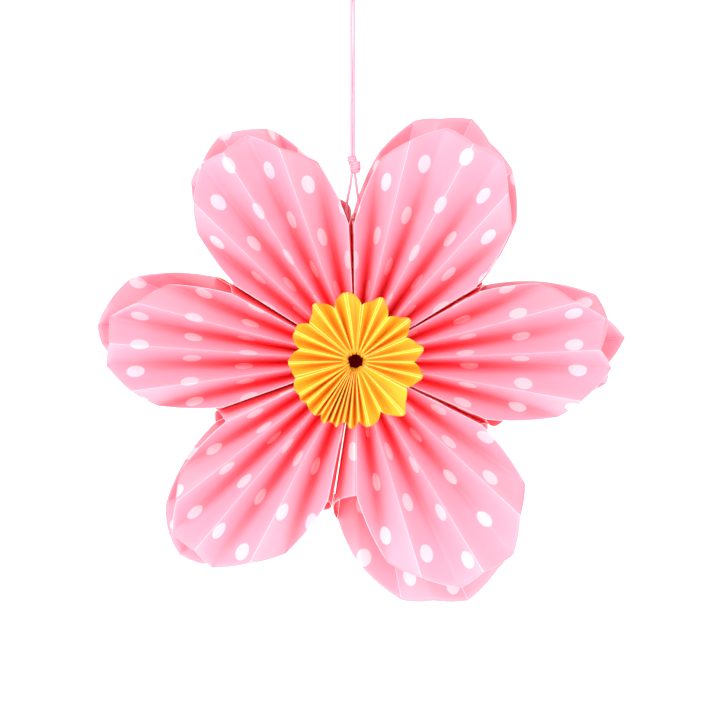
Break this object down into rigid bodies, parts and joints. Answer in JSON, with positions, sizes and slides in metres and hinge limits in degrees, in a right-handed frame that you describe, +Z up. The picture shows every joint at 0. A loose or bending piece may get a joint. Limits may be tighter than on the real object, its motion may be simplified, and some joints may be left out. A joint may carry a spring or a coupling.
{
  "type": "paper flower lantern",
  "caption": "Folding pleated paper flower lantern with dotted petals and a fan rosette centre, hung face-on on a knotted doubled string.",
  "frame": {"origin": "inside top of the hanging loop, where a hook carries it", "axes": "+Z up along the string, +X to the right across the flower's width, the flower's front faces -Y"},
  "size_m": [0.3107, 0.063, 0.3792],
  "materials": {
    "dotted_paper": "satin",
    "wall_paper": "satin",
    "yellow_paper": "satin",
    "hub_paper": "matte",
    "tab": "satin",
    "string": "satin"
  },
  "bodies": {
    "hanger": {"hanging_loop": "string"},
    "top_knot": {"top_knot": "string"},
    "string": {"left_strand": "string", "right_strand": "string"},
    "carrier": {"lower_knot": "string", "carrying_loop": "string"},
    "top_leaf": {"hub_core": "hub_paper", "petal_2_end_wall": "wall_paper", "petal_3_start_wall": "wall_paper", "petal_2_front_fan": "dotted_paper", "petal_2_back_fan": "dotted_paper", "petal_3_front_fan": "dotted_paper", "petal_3_back_fan": "dotted_paper", "rosette_2": "yellow_paper", "rosette_3": "yellow_paper"},
    "right_leaf_1": {"petal_2_start_wall": "wall_paper", "petal_1_end_wall": "wall_paper", "petal_1_front_fan": "dotted_paper", "petal_1_back_fan": "dotted_paper", "rosette_1": "yellow_paper"},
    "right_leaf_2": {"petal_1_start_wall": "wall_paper", "petal_6_end_wall": "wall_paper", "petal_6_front_fan": "dotted_paper", "petal_6_back_fan": "dotted_paper", "rosette_6": "yellow_paper"},
    "right_end": {"petal_6_start_wall": "wall_paper"},
    "left_leaf_1": {"petal_3_end_wall": "wall_paper", "petal_4_start_wall": "wall_paper", "petal_4_front_fan": "dotted_paper", "petal_4_back_fan": "dotted_paper", "rosette_4": "yellow_paper"},
    "left_leaf_2": {"petal_4_end_wall": "wall_paper", "petal_5_start_wall": "wall_paper", "petal_5_front_fan": "dotted_paper", "petal_5_back_fan": "dotted_paper", "rosette_5": "yellow_paper"},
    "left_end": {"petal_5_end_wall": "wall_paper", "closure_tab": "tab"}
  },
  "joints": [
    {"name": "swing_fore_aft", "type": "hinge", "parent": "hanger", "child": "top_knot", "pos_m": [0, 0, -0.0227], "axis": [1, 0, 0], "range_deg": [-35, 35]},
    {"name": "swing_sideways", "type": "hinge", "parent": "top_knot", "child": "string", "pos_m": [0, 0, -0.0227], "axis": [0, 1, 0], "range_deg": [-35, 35]},
    {"name": "string_twist", "type": "hinge", "parent": "string", "child": "carrier", "pos_m": [0, 0, -0.123], "axis": [0, 0, 1], "continuous": true},
    {"name": "flower_tilt", "type": "hinge", "parent": "carrier", "child": "top_leaf", "pos_m": [0, 0, -0.15503], "axis": [1, 0, 0], "range_deg": [-35, 35]},
    {"name": "fold_right_1", "type": "hinge", "parent": "top_leaf", "child": "right_leaf_1", "pos_m": [0.0016, 0, -0.237], "axis": [0, -1, 0], "range_deg": [0, 51.2], "deforming": ["petal_2_front_fan", "petal_2_back_fan", "rosette_2"]},
    {"name": "fold_right_2", "type": "hinge", "parent": "right_leaf_1", "child": "right_leaf_2", "pos_m": [0.0016, 0, -0.237], "axis": [0, -1, 0], "range_deg": [0, 46.7], "deforming": ["petal_1_front_fan", "petal_1_back_fan", "rosette_1"]},
    {"name": "fold_right_end", "type": "hinge", "parent": "right_leaf_2", "child": "right_end", "pos_m": [0.0016, 0, -0.237], "axis": [0, -1, 0], "range_deg": [0, 56.5], "deforming": ["petal_6_front_fan", "petal_6_back_fan", "rosette_6"]},
    {"name": "fold_left_1", "type": "hinge", "parent": "top_leaf", "child": "left_leaf_1", "pos_m": [0.0016, 0, -0.237], "axis": [0, 1, 0], "range_deg": [0, 44.2], "deforming": ["petal_3_front_fan", "petal_3_back_fan", "rosette_3"]},
    {"name": "fold_left_2", "type": "hinge", "parent": "left_leaf_1", "child": "left_leaf_2", "pos_m": [0.0016, 0, -0.237], "axis": [0, 1, 0], "range_deg": [0, 38.8], "deforming": ["petal_4_front_fan", "petal_4_back_fan", "rosette_4"]},
    {"name": "fold_left_end", "type": "hinge", "parent": "left_leaf_2", "child": "left_end", "pos_m": [0.0016, 0, -0.237], "axis": [0, 1, 0], "range_deg": [0, 46.3], "deforming": ["petal_5_front_fan", "petal_5_back_fan", "rosette_5"]}
  ],
  "couplings": [
    {"joint": "fold_right_2", "follows": "fold_right_1", "ratio": 0.91016},
    {"joint": "fold_right_end", "follows": "fold_right_1", "ratio": 1.1016},
    {"joint": "fold_left_1", "follows": "fold_right_1", "ratio": 0.86133},
    {"joint": "fold_left_2", "follows": "fold_right_1", "ratio": 0.75586},
    {"joint": "fold_left_end", "follows": "fold_right_1", "ratio": 0.90234}
  ]
}
